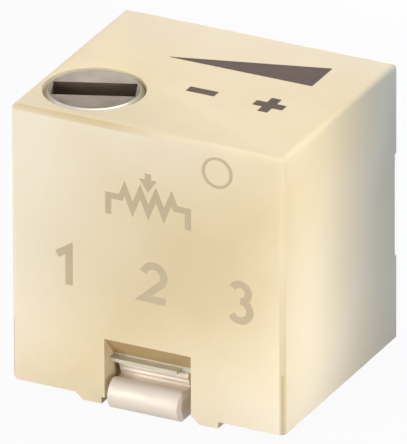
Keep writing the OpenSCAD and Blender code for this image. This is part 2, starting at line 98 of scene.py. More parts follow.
# Sizes of the housing, as in the part's source
EDGE_R = 0.07
LOW_LEFT_R = 0.1
SIDE_WALL = 0.23
FRONT_WALL = 0.3
BACK_WALL = 0.39
SEAT_STEP = 0.06
BAND_DEPTH = 0.055
BAND_H = 1.38
BAND_DROP = 1.2
NOTCH_W = 1.175
BACK_NOTCH_W = 0.8
NOTCH_H = 0.8
SLOPE_DEPTH = 0.253
SLOPE_DROP = 0.3
FOOT_W = 0.36
FOOT_RAMP = 0.11
FOOT_D = 0.5
FOOT_H = 0.09
LEFT_FOOT_END = -0.63
RIGHT_FOOT_END = 0.955
BACK_LEFT_FOOT_END = -0.185
BACK_RIGHT_FOOT_END = 0.57
BACK_LEAD_X = 1.15
ROOM_X = BODY_W / 2 - SIDE_WALL
ROOM_FRONT = FRONT_Y + FRONT_WALL
ROOM_BACK = BACK_Y - BACK_WALL
SKIRT_X = ROOM_X + SEAT_STEP
SKIRT_FRONT = ROOM_FRONT - SEAT_STEP

# Sizes of the screw and its bore
HEAD_R = 0.62
HEAD_T = 0.365
HEAD_LOW = HEAD_TOP - HEAD_T
HEAD_CHAMFER = 0.055
HEAD_GAP = 0.015
BORE_MOUTH = 0.015
# Reach of the small roundings at the inner and the outer end of the head's chamfer
FLAT_EASE = 0.008
RIM_EASE = 0.01
SLOT_LEN = 1.03
SLOT_W = 0.37
SLOT_DEPTH = 0.26
SLOT_ANGLE = math.radians(22)
JOURNAL_R = 0.38
RUN_GAP = 0.02
RING_GROOVE = 0.27
SHELF_TOP = HEAD_LOW - RING_GROOVE
JOURNAL_LEN = 0.21
ROOM_TOP = SHELF_TOP - JOURNAL_LEN
CLIP_TOP = ROOM_TOP - RUN_GAP / 2
CLIP_T = 0.1
CLIP_GROOVE_R = 0.28
WORM_TOP = CLIP_TOP - CLIP_T - RUN_GAP

# Worm drive
TEETH = 15
WHEEL_R = 0.96
WORM_R = 0.28
ADDENDUM = 0.09
DEDENDUM = 0.11
BACKLASH = 0.035
PRESSURE = math.radians(20)
WORM_TURNS = 3
STEPS_IN_TURN = 48
RIM_W = 0.4
PITCH = 2 * math.pi * WHEEL_R / TEETH
WHEEL_X = SCREW_X + WORM_R + WHEEL_R
WHEEL_Z = (BASE_TOP + ROOM_TOP) / 2
TAIL_R = 0.16
TAIL_SOCKET = 0.12
BOSS_R = 0.42
BOSS_GAP = 0.03
PIVOT_R = 0.25
PIVOT_HOLE = 0.14

# Leads and the points of their section
LEAD_T = 0.12
LEAD_X = -0.035
LEAD_W = 0.94
BACK_LEAD_W = 0.6
HOOK_PROUD = 0.092
HOOK_R = 0.1975
HOOK_FOOT = 0.3
TAB_H = 0.1
ELEMENT_T = 0.4
FILM_T = 0.02
HOOK_Y = HOOK_R - HOOK_PROUD
RUN_Z = 2 * HOOK_R - LEAD_T / 2
TUCK_Z = BASE_Z - LEAD_T / 2
FOLD_TOP = (0.295, TUCK_Z)
FOLD_OUT = (0.37, (RUN_Z + TUCK_Z) / 2)
FOLD_LOW = (0.335, RUN_Z)
TAB_Y = ROOM_BACK - ELEMENT_T - FILM_T - LEAD_T / 2
# Rounding of a lead's edges, and steps of the arcs in its section
LEAD_EDGE_R = 0.014
HOOK_STEPS = 32
INNER_HOOK_STEPS = 24
STRAP_STEPS = 16
BEAD_STEPS = 24
# How deep the run sags, at shares of its way from the hook to the fold
RUN_SAG = ((0.15, 0.008), (0.3, 0.026), (0.45, 0.04), (0.6, 0.042), (0.75, 0.03), (0.9, 0.01))
# Round beads in the fold: place behind the face, and height over the crease as a share of the fold
FOLD_BEADS = ((0.288, 0.25), (0.303, -0.25))

# Marks: how far ink and the ring stand out of the face that carries them, and reach into it
INK_PROUD = 0.004
INK_SUNK = 0.01
RING_PROUD = 0.008
RING_SUNK = 0.004
# Place of the ring, and its two radii
RING_X = 0.958
RING_DROP = 0.35
RING_R = 0.205
RING_HOLE_R = 0.172
# Widths of the diagram's, the numbers' and the signs' lines
DIAGRAM_LINE = 0.08
NUMBER_LINE = 0.095
SIGN_LINE = 0.13
NUMBER_STEPS = 14
# A sharp bend's mitre reaches at most half the line's width divided by this
MITRE_SHARE = 0.4

# How far one shape runs through the face of another that it cuts
OVER = 0.1
# Segments round a full circle, and round the screw
ROUND = 96
SCREW_ROUND = 128
# Vertices of a ring's mesh that are nearer than this are one
SAME_PLACE = 1e-5


# Mesh tools


def piece_from(bm, name):
    """A new object from a bmesh, which is freed."""
    mesh = bpy.data.meshes.new(name)
    bm.normal_update()
    bm.to_mesh(mesh)
    bm.free()
    obj = bpy.data.objects.new(name, mesh)
    bpy.context.scene.collection.objects.link(obj)
    return obj


def block(low, high, name="block"):
    """A plain box between two corners."""
    bm = bmesh.new()
    bmesh.ops.create_cube(bm, size=1)
    for v in bm.verts:
        v.co = Vector(high[k] if v.co[k] > 0 else low[k] for k in range(3))
    return piece_from(bm, name)


def rounded_block(low, high, radius, back_share, segments, name):
    """A box with its upright and top edges rounded, less at the back's two upright edges, and sharp below."""
    obj = block(low, high, name)
    weights = obj.data.attributes.new("bevel_weight_edge", "FLOAT", "EDGE")
    for edge, weight in zip(obj.data.edges, weights.data):
        a, b = (obj.data.vertices[i].co for i in edge.vertices)
        if max(a.z, b.z) > low[2] + radius:
            weight.value = back_share if abs(a.z - b.z) > radius and min(a.y, b.y) > 0 else 1
    modifier = obj.modifiers.new("rounding", "BEVEL")
    modifier.limit_method = "WEIGHT"
    modifier.width = radius
    modifier.segments = segments
    return baked(obj)


def arc(centre, radius, start, end, steps):
    """Points along an arc, with angles in degrees."""
    return [(centre[0] + radius * math.cos(math.radians(start + (end - start) * k / steps)),
             centre[1] + radius * math.sin(math.radians(start + (end - start) * k / steps)))
            for k in range(steps + 1)]


def circle(centre, radius, steps):
    """Points round a full circle, each once."""
    return arc(centre, radius, 0, 360, steps)[:-1]


def prism(outline, length, name="prism", triangles=False):
    """A closed outline of (x, y) points, extruded along Z by length."""
    bm = bmesh.new()
    rings = [[bm.verts.new((x, y, z)) for x, y in outline] for z in (0, length)]
    bm.faces.new(rings[0])
    bm.faces.new(rings[1])
    n = len(outline)
    for i in range(n):
        j = (i + 1) % n
        bm.faces.new((rings[0][i], rings[0][j], rings[1][j], rings[1][i]))
    bmesh.ops.recalc_face_normals(bm, faces=bm.faces[:])
    if triangles:
        bmesh.ops.triangulate(bm, faces=bm.faces[:])
    return piece_from(bm, name)


def lathe(profile, name="lathe", segments=ROUND):
    """A profile of (radius, height) points turned about Z, closed where both its ends are on the axis."""
    bm = bmesh.new()
    rings = []
    for r, z in profile:
        if r == 0:
            rings.append([bm.verts.new((0, 0, z))])
            continue
        rings.append([
            bm.verts.new((r * math.cos(a), r * math.sin(a), z))
            for a in (2 * math.pi * k / segments for k in range(segments))
        ])
    for a, b in zip(rings, rings[1:]):
        for k in range(segments):
            m = (k + 1) % segments
            corners = [a[k % len(a)], a[m % len(a)], b[m % len(b)], b[k % len(b)]]
            bm.faces.new(list(dict.fromkeys(corners)))
    bmesh.ops.recalc_face_normals(bm, faces=bm.faces[:])
    return piece_from(bm, name)


def moved(obj, matrix):
    """Moves the mesh of an object, and keeps the object at the origin."""
    obj.data.transform(matrix)
    if matrix.determinant() < 0:
        obj.data.flip_normals()
    obj.data.update()
    return obj


def baked(obj):
    """Applies an object's modifiers to its mesh."""
    depsgraph = bpy.context.evaluated_depsgraph_get()
    mesh = bpy.data.meshes.new_from_object(obj.evaluated_get(depsgraph))
    obj.modifiers.clear()
    old = obj.data
    obj.data = mesh
    bpy.data.meshes.remove(old)
    return obj


def combine(base, other, operation):
    """Adds or cuts another object and removes it."""
    modifier = base.modifiers.new("combine", "BOOLEAN")
    modifier.operation = operation
    modifier.solver = "EXACT"
    modifier.object = other
    baked(base)
    bpy.data.objects.remove(other)
    return base


def cut(base, *others):
    """Cuts other objects out of the first."""
    for other in others:
        combine(base, other, "DIFFERENCE")
    return base


def join(base, *others):
    """Adds other objects to the first."""
    for other in others:
        combine(base, other, "UNION")
    return base


def soften(obj, width, segments, angle):
    """Rounds the sharp edges of a mesh by a small width."""
    modifier = obj.modifiers.new("soften", "BEVEL")
    modifier.width = width
    modifier.segments = segments
    modifier.limit_method = "ANGLE"
    modifier.angle_limit = math.radians(angle)
    modifier.harden_normals = False
    modifier.use_clamp_overlap = True
    return baked(obj)


def finished(obj, name, material, body, stands_for=(), smooth=35):
    """Names a piece, scales it to metres, and gives it its shading, material and body."""
    obj.name = name
    obj.data.name = name
    moved(obj, Matrix.Scale(MM, 4))
    obj.data.materials.clear()
    obj.data.materials.append(material)
    obj.data.polygons.foreach_set("use_smooth", [True] * len(obj.data.polygons))
    obj.data.set_sharp_from_angle(angle=math.radians(smooth))
    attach(obj, body)
    if stands_for:
        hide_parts(*stands_for)
    return obj


# Materials

# Roughness of the usual moulded plastic and of ink and rubber, and the depth of the plastic's grain
SATIN = (0.42, 0.52)
DULL = (0.55, 0.65)
PLASTIC_GRAIN = 0.0025
INK_GRAIN = 0.001
# Where nearly all of a noise's values lie
NOISE_RANGE = (0.3, 0.7)
# Painted light and shade that drifts over the housing's faces: its change for each millimetre along x, y and
# z, and its value at the frame's origin
ACROSS, ACROSS_START = (0.27, 0.1, -0.27), 0.54
ALONG, ALONG_START = (0.12, 0.05, 0.12), -0.24
# Share of the painted shading across that the top face keeps, and the depth in which it falls to that
TOP_SHARE = 0.45
TOP_SKIN = 0.08
# From where to where painted light makes the housing paler towards its back, and by how much
PALE_START, PALE_END, PALE_RISE = 0.1, 1.5, 0.3
# How far mottling moves the housing's tone, and the screw's
HOUSING_MOTTLING = 0.1
SCREW_MOTTLING = 0.2
# Width of the line where an edge's painted shade ends
TINT_FADE = 0.015
# Heights between which the near edge's painted shade comes up, and places on x between which the front edge's
# painted shade does
NEAR_EDGE_CLEAR, NEAR_EDGE_FULL = 2.4, 1.2
FRONT_EDGE_CLEAR, FRONT_EDGE_FULL = 0.3, -0.5
# Turned rings in the screw's head: how close, how wavy, how fine and how deep
RINGS_SCALE, RINGS_WAVER, RINGS_DETAIL, RINGS_DEPTH = 9, 0.6, 2, 0.002
# The head's roughness, and how much less its chamfer has
HEAD_ROUGHNESS = (0.36, 0.46)
CHAMFER_SHINE = 0.06
# Reach of the head's painted shading across the slot, and of the painted shade past the slot's ends, from the
# screw's axis
CROSS_REACH = 0.6
SLOT_END_START, SLOT_END_FULL = 0.42, 0.58
# How near to a face a point still counts as lying on it
FACE_SKIN = 0.01


class Nodes:
    """Short names for building a material's nodes."""

    def __init__(self, name):
        self.material = bpy.data.materials.new(name)
        self.material.use_nodes = True
        self.tree = self.material.node_tree
        self.shader = self.tree.nodes["Principled BSDF"]
        coordinates = self.tree.nodes.new("ShaderNodeTexCoord")
        mapping = self.tree.nodes.new("ShaderNodeMapping")
        mapping.inputs["Scale"].default_value = (1 / MM,) * 3
        self.tree.links.new(coordinates.outputs["Object"], mapping.inputs["Vector"])
        self.place = mapping.outputs["Vector"]

    def link(self, a, b):
        self.tree.links.new(a, b)

    def noise(self, scale, detail=3, roughness=0.5, vector=None):
        node = self.tree.nodes.new("ShaderNodeTexNoise")
        node.inputs["Scale"].default_value = scale
        node.inputs["Detail"].default_value = detail
        node.inputs["Roughness"].default_value = roughness
        self.link(vector or self.place, node.inputs["Vector"])
        return node.outputs["Fac"]

    def stretched(self, x, y, z, centre=(0, 0, 0)):
        """The place in millimetres from a centre, stretched along each axis."""
        node = self.tree.nodes.new("ShaderNodeMapping")
        node.inputs["Location"].default_value = (-centre[0] * x, -centre[1] * y, -centre[2] * z)
        node.inputs["Scale"].default_value = (x, y, z)
        self.link(self.place, node.inputs["Vector"])
        return node.outputs["Vector"]

    def ramp(self, source, stops):
        node = self.tree.nodes.new("ShaderNodeValToRGB")
        elements = node.color_ramp.elements
        while len(elements) < len(stops):
            elements.new(0.5)
        for element, (at, code) in zip(elements, stops):
            element.position = at
            element.color = (*linear(code), 1)
        self.link(source, node.inputs["Fac"])
        return node.outputs["Color"]

    def spread(self, source, low, high, to_low=0, to_high=1):
        """The source, with its range from low to high laid over another and held at its ends."""
        node = self.tree.nodes.new("ShaderNodeMapRange")
        for name, value in (("From Min", low), ("From Max", high), ("To Min", to_low), ("To Max", to_high)):
            node.inputs[name].default_value = value
        self.link(source, node.inputs["Value"])
        return node.outputs["Result"]

    def sums(self, x, y, z):
        """The place in millimetres times one number for each axis, added up."""
        node = self.tree.nodes.new("ShaderNodeVectorMath")
        node.operation = "DOT_PRODUCT"
        node.inputs[1].default_value = (x, y, z)
        self.link(self.place, node.inputs[0])
        return node.outputs["Value"]

    def math(self, operation, value, *others):
        """An operation on one value and each of the others in turn, which may be numbers."""
        for other in others or (None,):
            node = self.tree.nodes.new("ShaderNodeMath")
            node.operation = operation
            self.link(value, node.inputs[0])
            if isinstance(other, (int, float)):
                node.inputs[1].default_value = other
            elif other is not None:
                self.link(other, node.inputs[1])
            value = node.outputs["Value"]
        return value

    def tint(self, colour, share, code, blend="MULTIPLY"):
        """The colour, drawn towards a tone where the share rises to 1."""
        node = self.tree.nodes.new("ShaderNodeMix")
        node.data_type = "RGBA"
        node.blend_type = blend
        self.link(share, node.inputs["Factor"])
        self.link(colour, node.inputs["A"])
        node.inputs["B"].default_value = (*linear(code), 1)
        return node.outputs["Result"]

    def bump(self, height, distance):
        node = self.tree.nodes.new("ShaderNodeBump")
        node.inputs["Distance"].default_value = distance * MM
        self.link(height, node.inputs["Height"])
        self.link(node.outputs["Normal"], self.shader.inputs["Normal"])

    def moulded_surface(self, roughness, grain):
        """Small patches of lesser gloss, and a fine grain of a depth in millimetres."""
        self.link(self.spread(self.noise(9), *NOISE_RANGE, *roughness), self.shader.inputs["Roughness"])
        self.bump(self.noise(38, 3, 0.6), grain)


def linear(code):
    """A linear colour from its hexadecimal sRGB code."""
    parts = [int(code[i:i + 2], 16) / 255 for i in (0, 2, 4)]
    return tuple(c / 12.92 if c <= 0.04045 else ((c + 0.055) / 1.055) ** 2.4 for c in parts)


def moulded(name, dark, light, roughness=SATIN, grain=PLASTIC_GRAIN):
    """Fine moulded plastic: a slow drift of colour, small mottling and a fine grain."""
    m = Nodes(name)
    m.link(m.ramp(m.noise(0.9, 4), [(0.35, dark), (0.65, light)]), m.shader.inputs["Base Color"])
    m.moulded_surface(roughness, grain)
    return m.material


def plated(name, dark, light, roughness=(0.28, 0.4), metallic=0.85, grain=0.0012, stretch=(1, 1, 1)):
    """Plated metal: a slight drift of colour and fine drawn lines."""
    m = Nodes(name)
    m.shader.inputs["Metallic"].default_value = metallic
    m.link(m.ramp(m.noise(1.6), [(0.3, dark), (0.7, light)]), m.shader.inputs["Base Color"])
    lines = m.noise(16, 4, 0.6, m.stretched(*stretch))
    m.link(m.spread(lines, *NOISE_RANGE, *roughness), m.shader.inputs["Roughness"])
    m.bump(lines, grain)
    return m.material


def turned(name, dark, light, rim_highlight_tone, slot_end_shade_tone):
    """The screw's metal: fine turned rings, painted shading across the slot, a painted highlight on the
    chamfer and painted shade past the slot's ends.
    """
    m = Nodes(name)
    m.shader.inputs["Metallic"].default_value = 0.6
    axis = (SCREW_X, SCREW_Y, 0)
    slot_way = Vector((math.cos(SLOT_ANGLE), math.sin(SLOT_ANGLE), 0))
    cross_way = Vector((-math.sin(SLOT_ANGLE), math.cos(SLOT_ANGLE), 0))
    wave = m.tree.nodes.new("ShaderNodeTexWave")
    wave.wave_type = "RINGS"
    wave.rings_direction = "Z"
    wave.inputs["Scale"].default_value = RINGS_SCALE
    wave.inputs["Distortion"].default_value = RINGS_WAVER
    wave.inputs["Detail"].default_value = RINGS_DETAIL
    m.link(m.stretched(1, 1, 1, axis), wave.inputs["Vector"])
    # Painted shading across the slot: lighter behind it, darker in front
    across = m.math("SUBTRACT", m.sums(*cross_way), cross_way.dot(axis))
    mottling = m.spread(m.noise(3), *NOISE_RANGE, -SCREW_MOTTLING, SCREW_MOTTLING)
    drift = m.math("ADD", m.spread(across, -CROSS_REACH, CROSS_REACH), mottling)
    colour = m.ramp(drift, [(0.1, dark), (0.9, light)])
    along = m.math("ABSOLUTE", m.math("SUBTRACT", m.sums(*slot_way), slot_way.dot(axis)))
    out = m.tree.nodes.new("ShaderNodeVectorMath")
    out.operation = "LENGTH"
    m.link(m.stretched(1, 1, 0, axis), out.inputs[0])
    flat_r = HEAD_R - HEAD_CHAMFER
    rim = m.spread(out.outputs["Value"], flat_r - FACE_SKIN, flat_r + FACE_SKIN)
    # Painted highlight on the chamfer
    colour = m.tint(colour, rim, rim_highlight_tone, "MIX")
    # Painted shade past the slot's ends
    colour = m.tint(colour, m.spread(along, SLOT_END_START, SLOT_END_FULL), slot_end_shade_tone)
    m.link(colour, m.shader.inputs["Base Color"])
    roughness = m.spread(m.noise(7), *NOISE_RANGE, *HEAD_ROUGHNESS)
    roughness = m.math("SUBTRACT", roughness, m.spread(rim, 0, 1, 0, CHAMFER_SHINE))
    m.link(roughness, m.shader.inputs["Roughness"])
    m.bump(wave.outputs["Fac"], RINGS_DEPTH)
    return m.material


def housing_plastic(tones, near_edge_shade_tone, front_edge_shade_tone, hollow_shade_tone):
    """The housing's plastic: painted light and shade drift across its faces and pale its back, and painted
    shade darkens two edges and its notches.
    """
    m = Nodes("housing_plastic")
    x, y, z = m.sums(1, 0, 0), m.sums(0, 1, 0), m.sums(0, 0, 1)
    # Painted light and shade drifts across the faces, with less of it on the top
    across = m.math("ABSOLUTE", m.math("ADD", m.sums(*ACROSS), ACROSS_START))
    across = m.math("MULTIPLY", across, m.spread(z, TOP_Z - TOP_SKIN, TOP_Z, 1, TOP_SHARE))
    along = m.math("ABSOLUTE", m.math("ADD", m.sums(*ALONG), ALONG_START))
    # Painted light, paler towards the back; the mottling below is the plastic's own
    behind = m.spread(y, PALE_START, PALE_END, 0, PALE_RISE)
    mottling = m.spread(m.noise(0.9, 4), *NOISE_RANGE, -HOUSING_MOTTLING, HOUSING_MOTTLING)
    colour = m.ramp(m.math("ADD", across, along, behind, mottling), tones)

    # Painted shade on the lower part of the near upright edge
    near_edge = BODY_W / 2 - FRONT_Y - EDGE_R
    upright = m.spread(m.sums(1, -1, 0), near_edge, near_edge + TINT_FADE)
    lower = m.spread(z, NEAR_EDGE_CLEAR, NEAR_EDGE_FULL)
    colour = m.tint(colour, m.math("MULTIPLY", upright, lower), near_edge_shade_tone)

    # Painted shade on the left part of the front top edge
    front_edge = TOP_Z - FRONT_Y - EDGE_R
    level = m.spread(m.sums(0, -1, 1), front_edge, front_edge + TINT_FADE)
    left = m.spread(x, FRONT_EDGE_CLEAR, FRONT_EDGE_FULL)
    colour = m.tint(colour, m.math("MULTIPLY", level, left), front_edge_shade_tone)

    # Painted shade inside the four faces and under the notches' roofs, but not on the front notch's side
    # walls
    beside = m.math("ABSOLUTE", x)
    roof = UNDER_Z + NOTCH_H
    hollow_shade = m.math(
        "MULTIPLY",
        m.spread(m.math("ABSOLUTE", y), BACK_Y - 0.4 * FACE_SKIN, BACK_Y - 2 * FACE_SKIN),
        m.spread(z, roof + FACE_SKIN, roof - FACE_SKIN),
        m.spread(beside, BODY_W / 2 - FACE_SKIN, BODY_W / 2 - 3 * FACE_SKIN),
        m.spread(m.math("ABSOLUTE", m.math("SUBTRACT", beside, NOTCH_W / 2)), FACE_SKIN / 5, FACE_SKIN))
    m.link(m.tint(colour, hollow_shade, hollow_shade_tone), m.shader.inputs["Base Color"])
    m.moulded_surface(SATIN, PLASTIC_GRAIN)
    return m.material


# The housing's tones; the drift between them is painted light and shade
HOUSING_TONES = [(0.15, "E6D1A7"), (0.5, "EFDDB8"), (0.95, "F6E9D0")]
# The last three colours are painted shade on the near edge, on the front edge and in the notches
HOUSING_PLASTIC = housing_plastic(HOUSING_TONES, "E6E0D2", "EAE4D6", "CDBDA3")
PLATE_PLASTIC = moulded("plate_plastic", "C9C5B1", "D6D2BF", (0.5, 0.6))
SEAL_RESIN = moulded("seal_resin", "DCC8A6", "E6D4B4", (0.3, 0.4), 0.004)
ROTOR_PLASTIC = moulded("rotor_plastic", "4C5B49", "5A6A56", (0.4, 0.5))
TAN_INK = moulded("tan_ink", "C9B592", "CFBC9A", DULL, INK_GRAIN)
DARK_INK = moulded("dark_ink", "4A3A33", "54423A", DULL, INK_GRAIN)
RUBBER = moulded("seal_rubber", "262524", "302F2D", DULL)
CERAMIC = moulded("ceramic_body", "DFDCD2", "EBE8DF", (0.5, 0.6), 0.004)
TRACK_FILM = moulded("track_film", "262423", "32302E", (0.35, 0.45), 0.002)
CEMENT = moulded("joint_cement", "8C9094", "A0A4A8", (0.4, 0.5), 0.006)
SILVER_FILM = plated("silver_film", "B9BBBA", "CFD1D0", (0.35, 0.5), 0.9)
LEAD_METAL = plated("lead_metal", "E9DCCD", "F2E6D9", (0.42, 0.55), 0.12, stretch=(0.25, 1, 1))
SPRING_METAL = plated("spring_metal", "D2BC80", "E0CD96")
CLIP_METAL = plated("clip_metal", "B8BABC", "CFD1D3")
# With painted shading across the slot, a painted highlight on the chamfer and painted shade past the slot's
# ends
SCREW_METAL = turned("screw_metal", "796E5E", "B5A99B", "D8D2C6", "C9C6B0")
# The slot's faces are a dark colour of painted shade, and dull
SLOT_PAINTED_SHADE = moulded("slot_painted_shade", "67594A", "706252", (0.6, 0.7), 0.002)
SLOT_PAINTED_SHADE.node_tree.nodes["Principled BSDF"].inputs["Specular IOR Level"].default_value = 0.15


# Housing


def into_face(x, width, front):
    """Places a section of (way in, height) points, extruded by width, at the front or the back face."""
    side = 1 if front else -1
    turn = Matrix(((0, 0, side, 0), (side, 0, 0, 0), (0, 1, 0, 0), (0, 0, 0, 1)))
    return Matrix.Translation((x - side * width / 2, FRONT_Y if front else BACK_Y, 0)) @ turn


def notch_cutter(x, width, front):
    """The room of a notch, whose roof slopes down inwards."""
    roof = UNDER_Z + NOTCH_H
    outline = [(-OVER, -OVER), (-OVER, roof), (0, roof), (SLOPE_DEPTH, roof - SLOPE_DROP),
               (SLOPE_DEPTH, BASE_Z), (FRONT_WALL, BASE_Z), (FRONT_WALL, -OVER)]
    return moved(prism(outline, width), into_face(x, width, front))


def foot(right_end, front):
    """A foot with a ramp at its left."""
    back = FRONT_Y + FOOT_D if front else BACK_Y
    outline = [(-FOOT_W, 0), (FOOT_RAMP - FOOT_W, -FOOT_H), (0, -FOOT_H), (0, OVER), (-FOOT_W, OVER)]
    turn = Matrix(((1, 0, 0, right_end), (0, 0, -1, back), (0, 1, 0, UNDER_Z), (0, 0, 0, 1)))
    return moved(prism(outline, FOOT_D), turn)


def housing():
    """The moulded housing with its bore, notches, feet and inner room."""
    obj = rounded_block((-BODY_W / 2, FRONT_Y, UNDER_Z), (BODY_W / 2, BACK_Y, TOP_Z), EDGE_R,
                        BACK_EDGE_SHARE, EDGE_SEGMENTS, "housing")
    rounding = arc((LOW_LEFT_R, LOW_LEFT_R), LOW_LEFT_R, 270, 180, 2 * EDGE_SEGMENTS)
    corner = [(-OVER, -OVER), (LOW_LEFT_R, -OVER), *rounding, (-OVER, LOW_LEFT_R)]
    facing = Matrix(((1, 0, 0, -BODY_W / 2), (0, 0, -1, BODY_D), (0, 1, 0, UNDER_Z), (0, 0, 0, 1)))
    cut(obj, moved(prism(corner, 2 * BODY_D), facing))
    join(obj, foot(LEFT_FOOT_END, True), foot(RIGHT_FOOT_END, True),
         foot(BACK_LEFT_FOOT_END, False), foot(BACK_RIGHT_FOOT_END, False))
    band_top = TOP_Z - BAND_DROP
    cut(obj,
        block((-ROOM_X, ROOM_FRONT, 0), (ROOM_X, ROOM_BACK, ROOM_TOP)),
        block((-SKIRT_X, SKIRT_FRONT, 0), (SKIRT_X, -SKIRT_FRONT, BASE_TOP)),
        block((-BODY_W, BACK_Y - BAND_DEPTH, band_top - BAND_H), (BODY_W, BACK_Y + BODY_D, band_top)))
    boss_y = FRONT_Y + FRONT_WALL / 2
    boss_len = SCREW_Y - RIM_W / 2 - BOSS_GAP - boss_y
    boss = lathe([(0, 0), (BOSS_R, 0), (BOSS_R, boss_len), (0, boss_len)])
    along_y = Matrix.Rotation(-math.pi / 2, 4, "X")
    join(obj, moved(boss, Matrix.Translation((WHEEL_X, boss_y, WHEEL_Z)) @ along_y))
    hole_r, hole_len = PIVOT_R + RUN_GAP, BODY_D / 2
    hole = lathe([(0, 0), (hole_r, 0), (hole_r, hole_len), (0, hole_len)])
    cut(obj,
        moved(hole, Matrix.Translation((WHEEL_X, ROOM_FRONT - PIVOT_HOLE, WHEEL_Z)) @ along_y),
        notch_cutter(0, NOTCH_W, True),
        notch_cutter(-BACK_LEAD_X, BACK_NOTCH_W, False),
        notch_cutter(BACK_LEAD_X, BACK_NOTCH_W, False))
    bore_r, journal_r = HEAD_R + HEAD_GAP, JOURNAL_R + RUN_GAP
    mouth_r = bore_r + BORE_MOUTH
    bore = lathe([(0, ROOM_TOP - OVER), (journal_r, ROOM_TOP - OVER), (journal_r, SHELF_TOP),
                  (bore_r, SHELF_TOP), (bore_r, TOP_Z - BORE_MOUTH),
                  (bore_r + BORE_MOUTH / 3, TOP_Z - BORE_MOUTH / 3),
                  (mouth_r, TOP_Z), (mouth_r, TOP_Z + OVER), (0, TOP_Z + OVER)])
    cut(obj, moved(bore, Matrix.Translation((SCREW_X, SCREW_Y, 0))))
    return finished(obj, "housing_shell", HOUSING_PLASTIC, CASE, ("housing",))


# Adjusting screw


def screw_head():
    """Profile of the head's top, with its chamfer rounded at both ends."""
    flat_r = HEAD_R - HEAD_CHAMFER
    chamfer_low = HEAD_TOP - HEAD_CHAMFER
    return [(0, HEAD_TOP), (flat_r - FLAT_EASE, HEAD_TOP), (flat_r, HEAD_TOP - FLAT_EASE / 4),
            (flat_r + FLAT_EASE, HEAD_TOP - FLAT_EASE), (HEAD_R - RIM_EASE, chamfer_low + RIM_EASE),
            (HEAD_R - RIM_EASE / 5, chamfer_low), (HEAD_R, chamfer_low - 1.2 * RIM_EASE)]


def worm_thread():
    """One thread round the screw, a closed tube of four sides."""
    tooth_w = PITCH / 2 - BACKLASH
    inner = WORM_R - DEDENDUM - RUN_GAP
    outer = WORM_R + ADDENDUM

    def half(r):
        return tooth_w / 2 - (r - WORM_R) * math.tan(PRESSURE)

    bm = bmesh.new()
    rings = []
    for i in range(WORM_TURNS * STEPS_IN_TURN + 1):
        turn = i / STEPS_IN_TURN
        middle = WHEEL_Z + (turn - WORM_TURNS / 2) * PITCH
        a = turn * 2 * math.pi
        rings.append([bm.verts.new((r * math.cos(a), r * math.sin(a), middle + side * half(r)))
                      for r, side in ((inner, -1), (outer, -1), (outer, 1), (inner, 1))])
    for a, b in zip(rings, rings[1:]):
        for k in range(4):
            m = (k + 1) % 4
            bm.faces.new((a[k], a[m], b[m], b[k]))
    bm.faces.new(rings[0][::-1])
    bm.faces.new(rings[-1])
    bmesh.ops.recalc_face_normals(bm, faces=bm.faces[:])
    return piece_from(bm, "thread")


def adjusting_screw():
    """The turned screw: head with driver slot, journal, clip groove, worm and tail."""
    worm_low = WHEEL_Z - WORM_TURNS / 2 * PITCH - PITCH / 2
    tail_low = BASE_TOP - TAIL_SOCKET + RUN_GAP
    profile = screw_head() + [
        (HEAD_R, HEAD_LOW), (JOURNAL_R, HEAD_LOW), (JOURNAL_R, CLIP_TOP), (CLIP_GROOVE_R, CLIP_TOP),
        (CLIP_GROOVE_R, CLIP_TOP - CLIP_T), (JOURNAL_R, CLIP_TOP - CLIP_T), (JOURNAL_R, WORM_TOP),
        (WORM_R - DEDENDUM, WORM_TOP), (WORM_R - DEDENDUM, worm_low), (TAIL_R, worm_low),
        (TAIL_R, tail_low), (0, tail_low)]
    obj = lathe(profile, "screw", SCREW_ROUND)
    join(obj, worm_thread())
    # The slot's faces take a material of their own, of painted shade, and are picked by their middles
    slot_low = HEAD_TOP - SLOT_DEPTH
    slot = block((-SLOT_LEN / 2, -SLOT_W / 2, slot_low), (SLOT_LEN / 2, SLOT_W / 2, HEAD_TOP + OVER))
    cut(obj, moved(slot, Matrix.Rotation(SLOT_ANGLE, 4, "Z")))
    reach = HEAD_R - HEAD_CHAMFER - 2 * FACE_SKIN
    in_slot = [face.center.xy.length < reach
               and slot_low - FACE_SKIN < face.center.z < HEAD_TOP - 0.4 * FACE_SKIN
               for face in obj.data.polygons]
    moved(obj, Matrix.Translation((SCREW_X, SCREW_Y, 0)))
    finished(obj, "screw_turned", SCREW_METAL, SCREW, ("adjusting_screw",), smooth=25)
    obj.data.materials.append(SLOT_PAINTED_SHADE)
    obj.data.polygons.foreach_set("material_index", [int(inside) for inside in in_slot])
    return obj


# Leads


def strap_outline(a, b):
    """A straight stretch of the lead with round ends."""
    angle = math.degrees(math.atan2(b[1] - a[1], b[0] - a[0]))
    return [*arc(b, LEAD_T / 2, angle - 90, angle + 90, STRAP_STEPS),
            *arc(a, LEAD_T / 2, angle + 90, angle + 270, STRAP_STEPS)]


